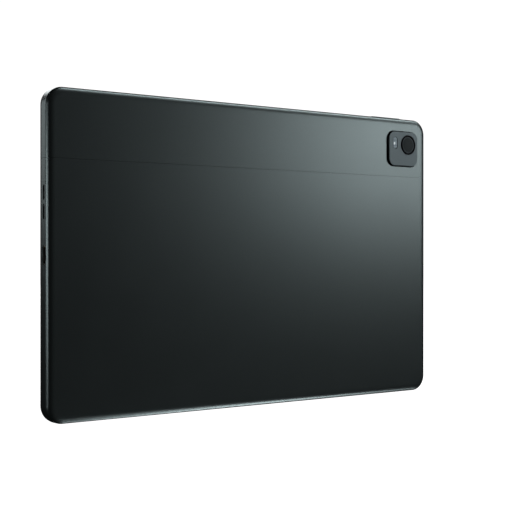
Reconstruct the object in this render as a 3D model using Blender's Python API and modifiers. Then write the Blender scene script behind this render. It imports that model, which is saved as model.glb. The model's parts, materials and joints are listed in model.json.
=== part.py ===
# Tablet computer, standing in landscape on its lower long edge.
# +X points right as seen from behind, +Y points through the body to the screen, +Z is up.
# The origin is at the bottom centre of the box around the tablet.
# Sizes are in millimetres. A "depth" is measured from the back's outer face towards the screen,
# and every corner is written (x, depth, z).

import math

import bmesh
import bpy
from mathutils import Vector

MM = 0.001
GAP = 0.3
PAST = 5.0                      # how far a cutter runs past what it cuts
PILL = 0.97                     # share of a half thickness that rounds a slot's ends

# Body
BODY_WIDTH = 247.5
BODY_HEIGHT = 157.3
BODY_DEPTH = 7.5
CORNER_RADIUS = 8.6
BACK_ROUND = (4.0, 2.4)         # how far the round reaches inwards, and down the side
BACK_ROUND_SHAPE = 0.63         # over 0.5, so it eases gently into the flat back
BACK_WALL = 0.8
SIDE_WALL = 1.3
POCKET_CHAMFER = (1.2, 1.2)
SHELL_TOP = 5.95
COVER_HEIGHT = 33.4
LAP = {"left": -95.0, "right": 70.0, "reach": 3.4, "depth": (1.0, 1.49), "root": (0.6, 4.0, 1.5)}

# Camera island
ISLAND_SIZE = (22.5, 19.4)
ISLAND_CENTRE = (104.8, 139.9)
ISLAND_RADIUS = 4.1
ISLAND_RISE = 1.3
ISLAND_SEAT = 1.1
ISLAND_FLANGE = {"width": 1.4, "depth": (1.0, 1.35)}
ISLAND_PLAY = 0.65              # a gap that shows as a dark line round the island
RING_RISE = 0.4
RING_SEAT = 1.1
RING_PLAY = 0.15
LENS_CENTRE = (108.5, 142.35)
RING_RADIUS = 5.65
LENS_RADIUS = 4.7
LENS_DEPTH = -1.15
LENS_THICKNESS = 0.6
LENS_BORE = 4.3
BARREL = [(0, 0), (1.6, 0), (2.6, 0.25), (3.3, 0.25), (3.3, -2.3), (0, -2.3)]
BARREL_DEPTH = -0.25
CAMERA_BODY = {"half": 4.4, "depth": (1.7, 4.1)}
FLASH_CENTRE = (98.1, 143.1)
FLASH_SIZE = (3.4, 6.6)
FLASH_DEPTH = (-1.35, -0.4)
LED_DEPTH = (0.6, 1.4)
LED_HALF = 0.8

# Keys
KEY_DEPTH = 3.4
KEY_THICKNESS = 2.2
KEY_RISE = 0.4
KEY_PLAY = 0.15
VOLUME_CENTRE = 94.8
VOLUME_LENGTH = 22.2
POWER_CENTRE = 137.0
POWER_LENGTH = 10.5
KEY_FOOT = 0.9                  # how far a key's cap reaches in from the wall
EAR_REACH = 1.1
EAR_THINNING = 0.2
STEM_HALF = 1.0
STEM_THINNING = 0.4
STEM_REACH = 1.4
VOLUME_STEM = 8.0
SWITCH_HALF = 1.6
SWITCH_REACH = (1.8, 3.3)
STRIP_REACH = (3.5, 3.8)
VOLUME_STRIP_HALF = 11.0
POWER_STRIP_HALF = 5.0

# Ports in the short sides
SLOT_CENTRES = (98.95, 107.95)
SLOT_LENGTH = 7.1
SLOT_THICKNESS = 1.5
SLOT_DEPTH = 3.6
USB_CENTRE = 78.75
USB_DEPTH = 3.25
USB_BORE = (8.34, 2.56)
USB_WALL = 0.3
USB_RECESS = 0.25
USB_LENGTH = 7.3
USB_FLOOR = 0.5
TONGUE = {"half": 3.35, "thin": 0.35, "front": 1.0, "rear": 0.8, "radius": 0.6}
MIC_RADIUS = 0.5
MIC_LENGTH = 6.0
MIC_DEPTH = 3.4
LOWER_MIC_X = 100.0
UPPER_MIC_X = 74.0

# Card tray
TRAY_CENTRE = 50.0
TRAY_DEPTH = 3.4
TRAY_WIDTH = 23.8
TRAY_THICKNESS = 0.8
TRAY_REACH = 17.5
DOOR_LOW = 36.0
DOOR_HIGH = 67.0
DOOR_THICKNESS = 2.2
POCKET_EDGE = 1.1               # the plate left round the card pockets
LARGE_POCKET = (15.2, 11.2)
SMALL_POCKET = {"inset": 2.2, "length": 12.5, "low": 13.5, "edge": 1.2}
SHEET = 0.2
CAGE_SETBACK = (1.0, 2.2)
PIN_HOLE_Z = 64.9
PIN_HOLE_RADIUS = 0.5
ROD_GUIDE = (112.0, 116.0)
ROD_GUIDE_EDGE = 1.2
ROD_RADIUS = 0.5
ROD_SETBACK = 0.5
LEVER_PIVOT = (101.8, 58.0)
LEVER_HUB = 1.6
LEVER_HALF = 1.2
LEVER_THIN = 0.39
LEVER_ARMS = (12.5, 8.0)
PIVOT_RADIUS = 0.5
PIVOT_LENGTH = 1.4
BRACKET_HALF = 3.0
BORE_RADIUS = 0.7

# Layers, as depths
GRAPHITE = (1.0, 1.15)
BATTERY = (1.4, 4.15)
BOARD = (1.6, 2.4)
USB_BOARD = (2.3, 3.1)
SHIELD = (2.6, 4.1)
SPEAKER = (1.2, 4.1)
FRAME = (4.35, 6.35)
FRAME_PLATE = 0.4
FRAME_LIP = (6.1, 6.75)
BACKLIGHT = (4.95, 5.8)
PANEL = (5.95, 6.6)
GASKET = (6.45, 6.65)
GLASS = (6.85, BODY_DEPTH)

# Boards, as (low x, low z, high x, high z)
MAIN_BOARD = (76, 14, 119, 150)
SPEAKER_NOTCH = (97, 84, 125, 121)
CAMERA_NOTCH = (102.6, 131.5, 125, 155)
USB_OUTLINE = (-121.5, 60, -103, 86.5)
BATTERY_BOARD = (-60, 119, 40, 122.8)
BATTERY_BOARD_DEPTH = (1.8, 3.4)
SHIELDS = {"processor_shield": (79, 92, 95, 116), "power_shield": (79, 60, 98, 88),
           "memory_shield": (79, 26, 98, 56), "radio_shield": (79, 126, 93, 141)}
MICROPHONES = {"lower_microphone": (100.0, 17.0), "upper_microphone": (79.0, 151.9)}
MICROPHONE_HALF = (1.7, 1.2)
MICROPHONE_HEIGHT = 1.0
BOARD_SCREWS = ((79.5, 17.5), (115.5, 17.5), (79.5, 146.5), (115.5, 127.5))
USB_SCREW_X = -108.0
USB_SCREWS = (63.5, 70.5)
SCREW_PROFILE = [(0, 0), (1.5, 0), (1.5, -0.45), (0.7, -0.45), (0.7, -2.0), (0, -2.0)]
SCREW_LIFT = 0.6
SCREW_HOLE = 1.0
BOSS_RADIUS = 2.1

# Strips and foils
MAIN_FLEX_DEPTH = (3.3, 3.5)
MAIN_FLEX = (-102, 5.5, 92, 10.5)
LEFT_LEG = (-101.99, 5.6, -98, 68)
LEFT_FOOT = (-105.5, 64, -98.5, 67.9)
RIGHT_LEG = (88, 5.6, 91.99, 22)
BATTERY_LEAD = (40.3, 119.3, 88, 122.3)
BATTERY_LEAD_DEPTH = (2.6, 2.8)
DISPLAY_FLEX_Z = (68.0, 83.0)
DISPLAY_FLEX_DEPTH = (2.8, 6.35)
DISPLAY_FLEX_END = 105.0
FLEX_SHEET = 0.2
GRAPHITE_OUTLINE = (-95, 15, 70, 117)
ANTENNAS = {"wifi_antenna": (-117.0, 30.0), "cellular_antenna": (5.0, 44.0),
            "satellite_antenna": (55.0, 18.0)}
ANTENNA_BAND = (6.0, 2.5)       # clear of the split and of the top wall
ANTENNA_STEP = {"share": 0.6, "low": 8.0, "high": 11.0}
ANTENNA_SLIT = (3.0, 6.0, 1.5)
COIL = (-60, 7.5, -32, 29.5)
COIL_BAND = 5.0

# Speakers and battery
SPEAKER_END = 100.0
SPEAKER_SETBACK = 1.2
SPEAKER_Z = (88.0, 118.0)
CONE = {"x": 110.0, "z": 100.0, "radius": 7.0, "cut": 1.0}
MESH_SETBACK = (0.4, 0.2)
MESH_Z = (94.0, 113.0)
CELL_LEFTS = {"left_battery_cell": -96.0, "right_battery_cell": -11.5}
CELL_WIDTH = 83.5
CELL_Z = (13.0, 118.0)

# Display
PANEL_SIZE = (230.0, 140.0)
GLASS_INSET = 0.2
GLASS_EDGE = 0.25
FRAME_RIM = 1.8
LIP_WIDTH = 1.55
GASKET_SETBACK = 0.8
GASKET_WIDTH = 1.2
FRONT_CAMERA = (-2.4, 149.0, 2.4, 153.8)
FRONT_CAMERA_DEPTH = (2.8, 6.55)
FRONT_CAMERA_PLAY = (0.4, 0.3)
LIGHT_SENSOR = (8.0, 151.4, 10.4, 152.8)
LIGHT_SENSOR_DEPTH = (5.3, 6.55)

# Values that follow
HALF_WIDTH = BODY_WIDTH / 2
MIDDLE = BODY_HEIGHT / 2
BACK_Y = (ISLAND_RISE + RING_RISE - BODY_DEPTH) / 2
SPLIT = BODY_HEIGHT - COVER_HEIGHT
INNER_X = HALF_WIDTH - SIDE_WALL
INNER_TOP = BODY_HEIGHT - SIDE_WALL

AXES = {"X": Vector((1, 0, 0)), "Y": Vector((0, 1, 0)), "Z": Vector((0, 0, 1))}

parts = None
cutters = None


def start_scene():
    """Empty the file and make one collection for the parts and one for the cutters."""
    global parts, cutters
    for old in list(bpy.data.objects):
        bpy.data.objects.remove(old, do_unlink=True)
    parts = bpy.data.collections.new("tablet_computer")
    cutters = bpy.data.collections.new("cutters")
    bpy.context.scene.collection.children.link(parts)
    bpy.context.scene.collection.children.link(cutters)


def place(x, depth, z):
    """World position in metres of a point given in millimetres."""
    return Vector((x, BACK_Y + depth, z)) * MM


def add_object(name, bm, location, collection):
    mesh = bpy.data.meshes.new(name)
    bm.to_mesh(mesh)
    bm.free()
    obj = bpy.data.objects.new(name, mesh)
    obj.location = location
    collection.objects.link(obj)
    return obj


def block(name, low, high, along="Y", radius=0.0, segments=4, collection=None):
    """A box between two corners, with its four edges along one axis rounded."""
    size = Vector([high[i] - low[i] for i in range(3)]) * MM
    middle = place(*[(high[i] + low[i]) / 2 for i in range(3)])
    bm = bmesh.new()
    bmesh.ops.create_cube(bm, size=1.0)
    bmesh.ops.scale(bm, vec=size, verts=bm.verts)
    if radius:
        edges = [e for e in bm.edges
                 if abs((e.verts[0].co - e.verts[1].co).normalized().dot(AXES[along])) > 0.9]
        bmesh.ops.bevel(bm, geom=edges, offset=radius * MM, segments=segments,
                        profile=0.5, affect="EDGES")
    return add_object(name, bm, middle, collection or parts)


def cylinder(name, centre, radius, length, along="Y", segments=24, collection=None):
    """A round bar about a centre point, lying along one axis."""
    bm = bmesh.new()
    bmesh.ops.create_cone(bm, cap_ends=True, segments=segments, radius1=radius * MM,
                          radius2=radius * MM, depth=length * MM)
    turn = AXES["Z"].rotation_difference(AXES[along]).to_matrix()
    bmesh.ops.rotate(bm, cent=(0, 0, 0), matrix=turn, verts=bm.verts)
    return add_object(name, bm, place(*centre), collection or parts)


def turned(name, profile, centre, steps=32):
    """A lathe shape: (radius, height) points, top first, with its top facing the back (-Y)."""
    mesh = bpy.data.meshes.new(name)
    points = [(r * MM, 0.0, h * MM) for r, h in profile]
    mesh.from_pydata(points, [(i, i + 1) for i in range(len(points) - 1)], [])
    obj = bpy.data.objects.new(name, mesh)
    parts.objects.link(obj)
    obj.location = place(*centre)
    obj.rotation_euler = (math.radians(90), 0, 0)
    spin = obj.modifiers.new("spin", "SCREW")
    spin.axis = "Z"
    spin.steps = steps
    spin.render_steps = steps
    spin.use_merge_vertices = True
    spin.merge_threshold = 0.00001
    return obj


def boolean(target, tool, operation):
    """Cut or join a tool object, which then stays as a hidden guide."""
    for owner in list(tool.users_collection):
        owner.objects.unlink(tool)
    cutters.objects.link(tool)
    tool.hide_render = True
    tool.display_type = "WIRE"
    step = target.modifiers.new(tool.name, "BOOLEAN")
    step.operation = operation
    step.solver = "EXACT"
    step.object = tool


def cut_block(target, name, low, high, along="Y", radius=0.0, segments=4):
    boolean(target, block(name, low, high, along, radius, segments, cutters), "DIFFERENCE")


def add_block(target, name, low, high, along="Y", radius=0.0, segments=4):
    boolean(target, block(name, low, high, along, radius, segments, cutters), "UNION")


def cut_hole(target, name, centre, radius, length, along="Y", segments=16):
    tool = cylinder(name, centre, radius, length, along, segments, cutters)
    boolean(target, tool, "DIFFERENCE")


def add_post(target, name, centre, radius, length, along="Y", segments=16):
    tool = cylinder(name, centre, radius, length, along, segments, cutters)
    boolean(target, tool, "UNION")


def finish(obj, colour, roughness, metallic=0.0):
    """Give a part its own material."""
    material = bpy.data.materials.new(obj.name)
    material.use_nodes = True
    shader = material.node_tree.nodes["Principled BSDF"]
    shader.inputs["Base Color"].default_value = (*colour, 1.0)
    shader.inputs["Roughness"].default_value = roughness
    shader.inputs["Metallic"].default_value = metallic
    obj.data.materials.append(material)
    return obj


# Colours, linear
HOUSING_GREY = (0.045, 0.055, 0.055)
COVER_GREY = (0.042, 0.051, 0.051)
ISLAND_GREY = (0.10, 0.11, 0.11)
BLACK = (0.01, 0.01, 0.011)
GLASS_BLACK = (0.015, 0.016, 0.018)
STEEL = (0.55, 0.55, 0.56)
BOARD_GREEN = (0.01, 0.06, 0.035)
FLEX_AMBER = (0.25, 0.09, 0.02)
COPPER = (0.6, 0.35, 0.15)


def across(outline, depths):
    """The two corners of a block given by its outline and its two depths."""
    x0, z0, x1, z1 = outline
    return (x0, depths[0], z0), (x1, depths[1], z1)


def eased_block(name, low, high, radius, ease, segments, shape, collection):
    """A block with its four corners rounded, and its edge towards the back rounded or chamfered."""
    blank = block(name, low, high, "Y", radius, 6, collection)
    inset, drop = ease
    bm = bmesh.new()
    bm.from_mesh(blank.data)
    back = min(v.co.y for v in bm.verts)
    tiny = 0.01 * MM
    rim = [e for e in bm.edges if all(v.co.y < back + tiny for v in e.verts)]
    bmesh.ops.bevel(bm, geom=rim, offset=inset * MM, segments=segments, profile=shape,
                    affect="EDGES")
    for vert in bm.verts:
        down = vert.co.y - back
        if down < inset * MM + tiny:
            vert.co.y = back + down * drop / inset
    bm.to_mesh(blank.data)
    bm.free()
    return blank


def make_shell(name):
    """The whole outside of the body, hollowed out and open to the screen side."""
    shell = eased_block(name, (-HALF_WIDTH, 0, 0), (HALF_WIDTH, SHELL_TOP, BODY_HEIGHT),
                        CORNER_RADIUS, BACK_ROUND, 6, BACK_ROUND_SHAPE, parts)
    pocket = eased_block(name + "_pocket", (-INNER_X, BACK_WALL, SIDE_WALL),
                         (INNER_X, BODY_DEPTH, INNER_TOP), CORNER_RADIUS - SIDE_WALL,
                         POCKET_CHAMFER, 1, 0.5, cutters)
    boolean(shell, pocket, "DIFFERENCE")
    return shell


def make_rear_housing():
    """Aluminium tray: the lower back with the bottom edge and most of both short sides."""
    housing = make_shell("rear_housing")
    cut_block(housing, "housing_split", (-HALF_WIDTH - PAST, -PAST, SPLIT - GAP / 2),
              (HALF_WIDTH + PAST, BODY_DEPTH + PAST, BODY_HEIGHT + PAST))
    half = SLOT_THICKNESS / 2
    for side in (-1, 1):
        inner, outer = sorted((side * (INNER_X - 1), side * (HALF_WIDTH + 1)))
        for number, z in enumerate(SLOT_CENTRES):
            cut_block(housing, f"sound_slot_{side}_{number}",
                      (inner, SLOT_DEPTH - half, z - SLOT_LENGTH / 2),
                      (outer, SLOT_DEPTH + half, z + SLOT_LENGTH / 2),
                      "X", half * PILL, 4)
    wide = USB_BORE[0] / 2 + USB_WALL + KEY_PLAY
    thick = USB_BORE[1] / 2 + USB_WALL + KEY_PLAY
    cut_block(housing, "usb_opening",
              (-HALF_WIDTH - 1, USB_DEPTH - thick, USB_CENTRE - wide),
              (-INNER_X + 1, USB_DEPTH + thick, USB_CENTRE + wide),
              "X", thick * PILL, 5)
    half = DOOR_THICKNESS / 2 + KEY_PLAY
    cut_block(housing, "tray_opening",
              (INNER_X - 1, TRAY_DEPTH - half, DOOR_LOW - KEY_PLAY),
              (HALF_WIDTH + 1, TRAY_DEPTH + half, DOOR_HIGH + KEY_PLAY),
              "X", half * PILL, 4)
    cut_hole(housing, "lower_mic_hole", (LOWER_MIC_X, MIC_DEPTH, 0), MIC_RADIUS, MIC_LENGTH, "Z", 12)
    finish(housing, HOUSING_GREY, 0.4, 0.9)


def make_antenna_cover():
    """Plastic cover: the upper strip of the back with the top edge, over the antennas."""
    cover = make_shell("antenna_cover")
    cut_block(cover, "cover_split", (-HALF_WIDTH - PAST, -PAST, -PAST),
              (HALF_WIDTH + PAST, BODY_DEPTH + PAST, SPLIT + GAP / 2))
    # A bonded lap reaches under the housing's back wall.
    near, far, deep = LAP["root"]
    add_block(cover, "lap_root", (LAP["left"], BACK_WALL / 2, SPLIT + near),
              (LAP["right"], deep, SPLIT + far))
    low, high = LAP["depth"]
    add_block(cover, "lap_tongue", (LAP["left"], low, SPLIT - LAP["reach"]),
              (LAP["right"], high, SPLIT + far / 2))
    half_x = ISLAND_SIZE[0] / 2 + ISLAND_PLAY
    half_z = ISLAND_SIZE[1] / 2 + ISLAND_PLAY
    x, z = ISLAND_CENTRE
    cut_block(cover, "island_opening", (x - half_x, -1, z - half_z),
              (x + half_x, BACK_WALL + 0.5, z + half_z), "Y", ISLAND_RADIUS + ISLAND_PLAY, 5)
    thick = KEY_THICKNESS / 2 + KEY_PLAY
    half = VOLUME_LENGTH / 2 + KEY_PLAY
    cut_block(cover, "volume_opening",
              (VOLUME_CENTRE - half, KEY_DEPTH - thick, INNER_TOP - 1),
              (VOLUME_CENTRE + half, KEY_DEPTH + thick, BODY_HEIGHT + 1),
              "Z", thick * PILL, 4)
    half = POWER_LENGTH / 2 + KEY_PLAY
    cut_block(cover, "power_opening",
              (INNER_X - 1, KEY_DEPTH - thick, POWER_CENTRE - half),
              (HALF_WIDTH + 1, KEY_DEPTH + thick, POWER_CENTRE + half),
              "X", thick * PILL, 4)
    cut_hole(cover, "upper_mic_hole", (UPPER_MIC_X, MIC_DEPTH, BODY_HEIGHT),
             MIC_RADIUS, MIC_LENGTH, "Z", 12)
    finish(cover, COVER_GREY, 0.45)


def make_camera():
    """Camera island with its ring, lens, flash window and the parts behind them."""
    x, z = ISLAND_CENTRE
    half_x, half_z = (size / 2 for size in ISLAND_SIZE)
    island = block("camera_island", (x - half_x, -ISLAND_RISE, z - half_z),
                   (x + half_x, ISLAND_SEAT, z + half_z), "Y", ISLAND_RADIUS, 5)
    edge = ISLAND_FLANGE["width"]
    low, high = ISLAND_FLANGE["depth"]
    add_block(island, "island_flange", (x - half_x - edge, low, z - half_z - edge),
              (x + half_x + edge, high, z + half_z + edge), "Y", ISLAND_RADIUS + edge, 5)
    lens_x, lens_z = LENS_CENTRE
    cut_hole(island, "ring_seat", (lens_x, -ISLAND_RISE, lens_z), RING_RADIUS + RING_PLAY,
             RING_SEAT, "Y", 32)
    cut_hole(island, "lens_bore", (lens_x, 0, lens_z), LENS_BORE, PAST, "Y", 32)
    flash_x, flash_z = FLASH_CENTRE
    half_x, half_z = (size / 2 + RING_PLAY for size in FLASH_SIZE)
    cut_block(island, "flash_opening", (flash_x - half_x, -PAST, flash_z - half_z),
              (flash_x + half_x, PAST, flash_z + half_z), "Y", half_x * PILL, 5)
    finish(island, ISLAND_GREY, 0.35, 0.6)

    inner = LENS_RADIUS + RING_PLAY
    ring = turned("lens_ring", [(inner, 0), (RING_RADIUS - 0.2, 0), (RING_RADIUS, -0.2),
                                (RING_RADIUS, -0.8), (inner, -0.8), (inner, 0)],
                  (lens_x, -ISLAND_RISE - RING_RISE, lens_z), 40)
    finish(ring, (0.3, 0.3, 0.3), 0.3, 1.0)
    glass = cylinder("lens_glass", (lens_x, LENS_DEPTH, lens_z), LENS_RADIUS, LENS_THICKNESS, "Y", 40)
    finish(glass, GLASS_BLACK, 0.05)
    half_x, half_z = (size / 2 for size in FLASH_SIZE)
    low, high = FLASH_DEPTH
    window = block("flash_window", (flash_x - half_x, low, flash_z - half_z),
                   (flash_x + half_x, high, flash_z + half_z), "Y", half_x * PILL, 5)
    finish(window, (0.5, 0.5, 0.48), 0.2)
    low, high = LED_DEPTH
    led = block("flash_led", (flash_x - LED_HALF, low, flash_z - LED_HALF),
                (flash_x + LED_HALF, high, flash_z + LED_HALF))
    finish(led, (0.8, 0.7, 0.3), 0.4)

    camera = turned("rear_camera_module", BARREL, (lens_x, BARREL_DEPTH, lens_z), 24)
    half = CAMERA_BODY["half"]
    low, high = CAMERA_BODY["depth"]
    add_block(camera, "rear_camera_body", (lens_x - half, low, lens_z - half),
              (lens_x + half, high, lens_z + half), "Y", 0.8, 2)
    finish(camera, BLACK, 0.4)


def make_keys():
    """Volume rocker in the top edge and power key in the short side, with their switches."""
    low = KEY_DEPTH - KEY_THICKNESS / 2
    high = KEY_DEPTH + KEY_THICKNESS / 2
    half = VOLUME_LENGTH / 2
    foot = INNER_TOP - KEY_FOOT
    volume = block("volume_key", (VOLUME_CENTRE - half, low, foot),
                   (VOLUME_CENTRE + half, high, BODY_HEIGHT + KEY_RISE),
                   "Z", KEY_THICKNESS / 2 * PILL, 4)
    add_block(volume, "volume_ears",
              (VOLUME_CENTRE - half - EAR_REACH, low + EAR_THINNING, foot - 0.6),
              (VOLUME_CENTRE + half + EAR_REACH, high - EAR_THINNING, INNER_TOP - 0.5))
    for side in (-1, 1):
        stem = VOLUME_CENTRE + side * VOLUME_STEM
        add_block(volume, f"volume_stem_{side}",
                  (stem - STEM_HALF, low + STEM_THINNING, foot - STEM_REACH),
                  (stem + STEM_HALF, high - STEM_THINNING, foot + 0.2))
        switch_name = "volume_up_switch" if side > 0 else "volume_down_switch"
        switch = block(switch_name, (stem - SWITCH_HALF, low, foot - SWITCH_REACH[1]),
                       (stem + SWITCH_HALF, high, foot - SWITCH_REACH[0]))
        finish(switch, STEEL, 0.35, 1.0)
    finish(volume, COVER_GREY, 0.4)
    strip = block("volume_flex", (VOLUME_CENTRE - VOLUME_STRIP_HALF, low, foot - STRIP_REACH[1]),
                  (VOLUME_CENTRE + VOLUME_STRIP_HALF, high, foot - STRIP_REACH[0]))
    finish(strip, FLEX_AMBER, 0.5)

    half = POWER_LENGTH / 2
    foot = INNER_X - KEY_FOOT
    power = block("power_key", (foot, low, POWER_CENTRE - half),
                  (HALF_WIDTH + KEY_RISE, high, POWER_CENTRE + half),
                  "X", KEY_THICKNESS / 2 * PILL, 4)
    add_block(power, "power_ears", (foot - 0.5, low + EAR_THINNING, POWER_CENTRE - half - EAR_REACH),
              (INNER_X - 0.2, high - EAR_THINNING, POWER_CENTRE + half + EAR_REACH))
    add_block(power, "power_stem",
              (foot - STEM_REACH, low + STEM_THINNING, POWER_CENTRE - STEM_HALF),
              (foot + 0.2, high - STEM_THINNING, POWER_CENTRE + STEM_HALF))
    finish(power, COVER_GREY, 0.4)
    switch = block("power_switch", (foot - SWITCH_REACH[1], low, POWER_CENTRE - SWITCH_HALF),
                   (foot - SWITCH_REACH[0], high, POWER_CENTRE + SWITCH_HALF))
    finish(switch, STEEL, 0.35, 1.0)
    strip = block("power_flex", (foot - STRIP_REACH[1], low, POWER_CENTRE - POWER_STRIP_HALF),
                  (foot - STRIP_REACH[0], high, POWER_CENTRE + POWER_STRIP_HALF))
    finish(strip, FLEX_AMBER, 0.5)


def make_card_tray():
    """Pull-out card tray, its cage on the main board, and the push rod and lever that eject it."""
    half = DOOR_THICKNESS / 2
    inner_end = INNER_X - TRAY_REACH
    tray = block("card_tray", (INNER_X, TRAY_DEPTH - half, DOOR_LOW),
                 (HALF_WIDTH, TRAY_DEPTH + half, DOOR_HIGH), "X", half * PILL, 4)
    plate_low = TRAY_CENTRE - TRAY_WIDTH / 2
    plate_high = TRAY_CENTRE + TRAY_WIDTH / 2
    thin = TRAY_THICKNESS / 2
    add_block(tray, "tray_plate", (inner_end, TRAY_DEPTH - thin, plate_low),
              (INNER_X + 0.4, TRAY_DEPTH + thin, plate_high))
    x, z = inner_end + POCKET_EDGE, plate_low + POCKET_EDGE
    cut_block(tray, "large_card_pocket", (x, TRAY_DEPTH - 2, z),
              (x + LARGE_POCKET[0], TRAY_DEPTH + 2, z + LARGE_POCKET[1]))
    x = inner_end + SMALL_POCKET["inset"]
    cut_block(tray, "small_card_pocket", (x, TRAY_DEPTH - 2, plate_low + SMALL_POCKET["low"]),
              (x + SMALL_POCKET["length"], TRAY_DEPTH + 2, plate_high - SMALL_POCKET["edge"]))
    cut_hole(tray, "pin_hole", (HALF_WIDTH, TRAY_DEPTH, PIN_HOLE_Z), PIN_HOLE_RADIUS, PAST, "X", 12)
    finish(tray, HOUSING_GREY, 0.4, 0.8)

    low, high = SHIELD
    cage_low = plate_low - GAP - SHEET
    cage_high = plate_high + GAP + SHEET
    cage = block("tray_cage", (inner_end + CAGE_SETBACK[0], low, cage_low),
                 (INNER_X - CAGE_SETBACK[1], high, cage_high))
    cut_block(cage, "cage_inside", (inner_end, low + SHEET, cage_low + SHEET),
              (INNER_X, high - SHEET, cage_high - SHEET))
    add_block(cage, "rod_guide", (ROD_GUIDE[0], low, cage_high - 0.1),
              (ROD_GUIDE[1], high, PIN_HOLE_Z + ROD_GUIDE_EDGE))
    cut_hole(cage, "rod_guide_bore", (sum(ROD_GUIDE) / 2, TRAY_DEPTH, PIN_HOLE_Z), BORE_RADIUS,
             8, "X", 16)
    pivot_x, pivot_z = LEVER_PIVOT
    add_block(cage, "lever_bracket", (pivot_x - LEVER_HUB, low, pivot_z - BRACKET_HALF),
              (inner_end + 1.5, low + SHEET, pivot_z + BRACKET_HALF))
    add_post(cage, "lever_pin", (pivot_x, low + PIVOT_LENGTH / 2 + 0.05, pivot_z), PIVOT_RADIUS,
             PIVOT_LENGTH, "Y", 16)
    finish(cage, STEEL, 0.3, 1.0)

    rod_start = pivot_x + LEVER_HALF + GAP
    rod_end = INNER_X - ROD_SETBACK
    rod = cylinder("eject_rod", ((rod_start + rod_end) / 2, TRAY_DEPTH, PIN_HOLE_Z),
                   ROD_RADIUS, rod_end - rod_start, "X", 16)
    finish(rod, STEEL, 0.3, 1.0)
    lever = cylinder("eject_lever", (pivot_x, TRAY_DEPTH, pivot_z), LEVER_HUB, 0.8, "Y", 24)
    add_block(lever, "lever_arms", (pivot_x - LEVER_HALF, TRAY_DEPTH - LEVER_THIN, pivot_z - LEVER_ARMS[0]),
              (pivot_x + LEVER_HALF, TRAY_DEPTH + LEVER_THIN, pivot_z + LEVER_ARMS[1]))
    cut_hole(lever, "lever_bore", (pivot_x, TRAY_DEPTH, pivot_z), BORE_RADIUS, PAST, "Y", 16)
    finish(lever, STEEL, 0.3, 1.0)


def make_usb_port():
    """Charging port: an oval shell with its tongue, on a small board of its own."""
    mouth = -HALF_WIDTH + USB_RECESS
    rear = mouth + USB_LENGTH
    wide = USB_BORE[0] / 2
    thick = USB_BORE[1] / 2
    shell = block("usb_shell",
                  (mouth, USB_DEPTH - thick - USB_WALL, USB_CENTRE - wide - USB_WALL),
                  (rear, USB_DEPTH + thick + USB_WALL, USB_CENTRE + wide + USB_WALL),
                  "X", (thick + USB_WALL) * PILL, 5)
    cut_block(shell, "usb_bore", (mouth - 1, USB_DEPTH - thick, USB_CENTRE - wide),
              (rear - USB_FLOOR, USB_DEPTH + thick, USB_CENTRE + wide), "X", thick * PILL, 5)
    finish(shell, STEEL, 0.3, 1.0)
    half, thin = TONGUE["half"], TONGUE["thin"]
    tongue = block("usb_tongue", (mouth + TONGUE["front"], USB_DEPTH - thin, USB_CENTRE - half),
                   (rear - TONGUE["rear"], USB_DEPTH + thin, USB_CENTRE + half),
                   "Y", TONGUE["radius"], 2)
    finish(tongue, BLACK, 0.4)

    board = block("usb_board", *across(USB_OUTLINE, USB_BOARD), "Y", 1.0, 2)
    cut_block(board, "usb_notch", (-HALF_WIDTH, 0, USB_CENTRE - wide - USB_WALL - GAP),
              (rear + GAP, PAST, USB_CENTRE + wide + USB_WALL + GAP))
    for number, z in enumerate(USB_SCREWS):
        cut_hole(board, f"usb_board_hole_{number}", (USB_SCREW_X, USB_BOARD[0], z), SCREW_HOLE, PAST)
    finish(board, BOARD_GREEN, 0.5)


def make_speakers():
    """A speaker box behind each pair of slots, with a dust mesh against the wall."""
    low, high = SPEAKER
    for side, word in ((-1, "left"), (1, "right")):
        inner, outer = sorted((side * SPEAKER_END, side * (INNER_X - SPEAKER_SETBACK)))
        speaker = block(f"{word}_speaker", (inner, low, SPEAKER_Z[0]), (outer, high, SPEAKER_Z[1]),
                        "Y", 2.0, 3)
        cut_hole(speaker, f"{word}_cone_seat", (side * CONE["x"], low, CONE["z"]), CONE["radius"],
                 CONE["cut"], "Y", 24)
        finish(speaker, BLACK, 0.5)
        near, far = sorted(side * (INNER_X - setback) for setback in MESH_SETBACK)
        mesh = block(f"{word}_speaker_mesh", (near, low + 1, MESH_Z[0]), (far, high, MESH_Z[1]))
        finish(mesh, (0.02, 0.02, 0.02), 0.6)


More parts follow.
